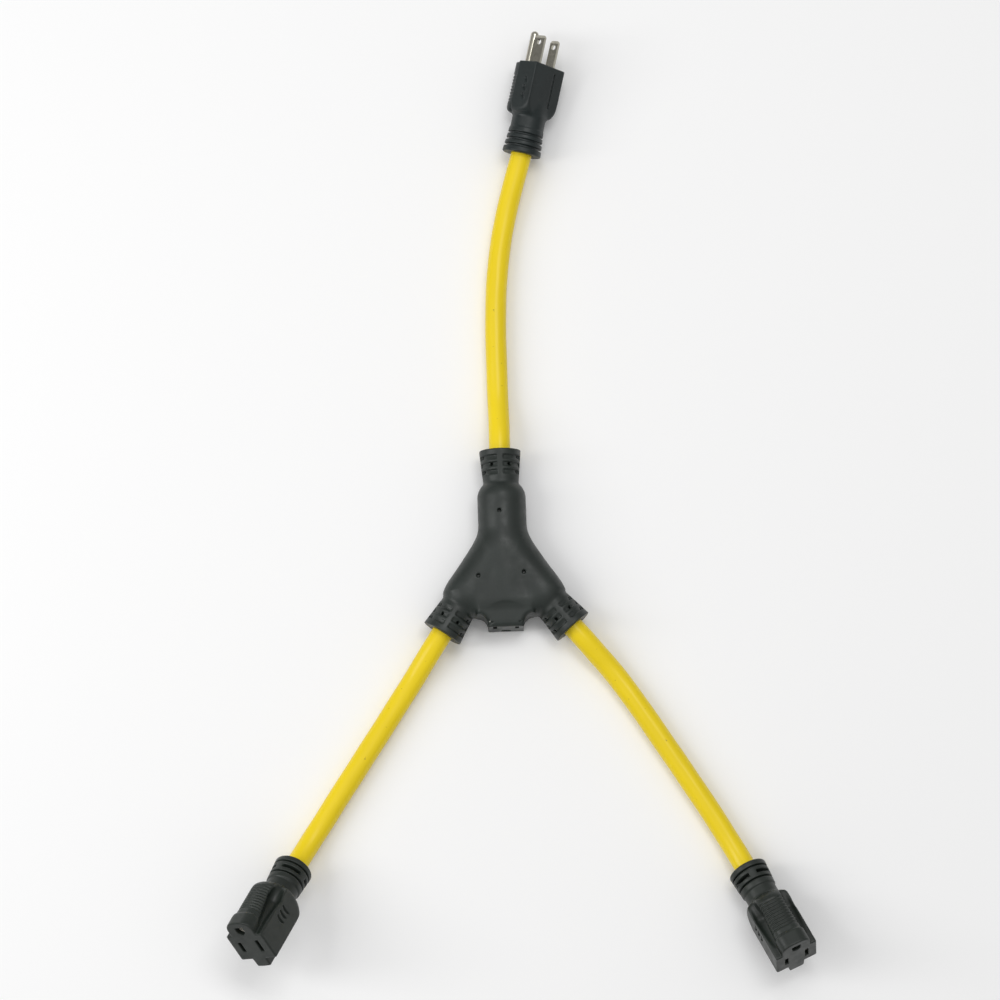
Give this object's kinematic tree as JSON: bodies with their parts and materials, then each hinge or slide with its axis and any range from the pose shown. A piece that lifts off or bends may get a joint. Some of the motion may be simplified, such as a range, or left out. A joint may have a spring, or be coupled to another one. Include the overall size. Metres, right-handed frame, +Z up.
{
  "type": "splitter extension cord",
  "caption": "Short heavy-duty splitter cord: a grounded plug, a moulded Y hub with an outlet of its own, and legs that end in grounded connectors.",
  "frame": {"origin": "on the floor under the middle of the Y hub's own box", "axes": "+Y from the hub towards the plug, +Z up from the hub's flat back, +X towards the right leg"},
  "size_m": [0.3324, 0.5614, 0.0617],
  "materials": {
    "jacket_yellow": "satin extruded vinyl",
    "charcoal_vinyl": "satin moulded vinyl",
    "plug_vinyl": "satin moulded vinyl",
    "nickel_prong": "nickel plated, bright",
    "contact_brass": "bare stamped",
    "copper_strand": "bare stranded",
    "inner_plastic": "moulded",
    "black_insulation": "satin",
    "white_insulation": "satin",
    "green_insulation": "satin"
  },
  "bodies": {
    "root": {"hub_overmould": "charcoal_vinyl", "hub_contact_carrier": "inner_plastic", "hub_line_contact": "contact_brass", "hub_neutral_contact": "contact_brass", "hub_ground_contact": "contact_brass", "hub_line_bus": "contact_brass", "hub_neutral_bus": "contact_brass", "hub_ground_bus": "contact_brass", "plug_overmould": "plug_vinyl", "plug_bridge": "inner_plastic", "plug_line_blade": "nickel_prong", "plug_neutral_blade": "nickel_prong", "plug_ground_pin": "nickel_prong", "left_overmould": "charcoal_vinyl", "left_contact_carrier": "inner_plastic", "left_line_contact": "contact_brass", "left_neutral_contact": "contact_brass", "left_ground_contact": "contact_brass", "right_overmould": "charcoal_vinyl", "right_contact_carrier": "inner_plastic", "right_line_contact": "contact_brass", "right_neutral_contact": "contact_brass", "right_ground_contact": "contact_brass", "supply_jacket": "jacket_yellow", "left_jacket": "jacket_yellow", "right_jacket": "jacket_yellow", "supply_line_insulation": "black_insulation", "supply_neutral_insulation": "white_insulation", "supply_ground_insulation": "green_insulation", "left_line_insulation": "black_insulation", "left_neutral_insulation": "white_insulation", "left_ground_insulation": "green_insulation", "right_line_insulation": "black_insulation", "right_neutral_insulation": "white_insulation", "right_ground_insulation": "green_insulation", "supply_line_copper": "copper_strand", "supply_neutral_copper": "copper_strand", "supply_ground_copper": "copper_strand", "left_line_copper": "copper_strand", "left_neutral_copper": "copper_strand", "left_ground_copper": "copper_strand", "right_line_copper": "copper_strand", "right_neutral_copper": "copper_strand", "right_ground_copper": "copper_strand"}
  },
  "joints": []
}
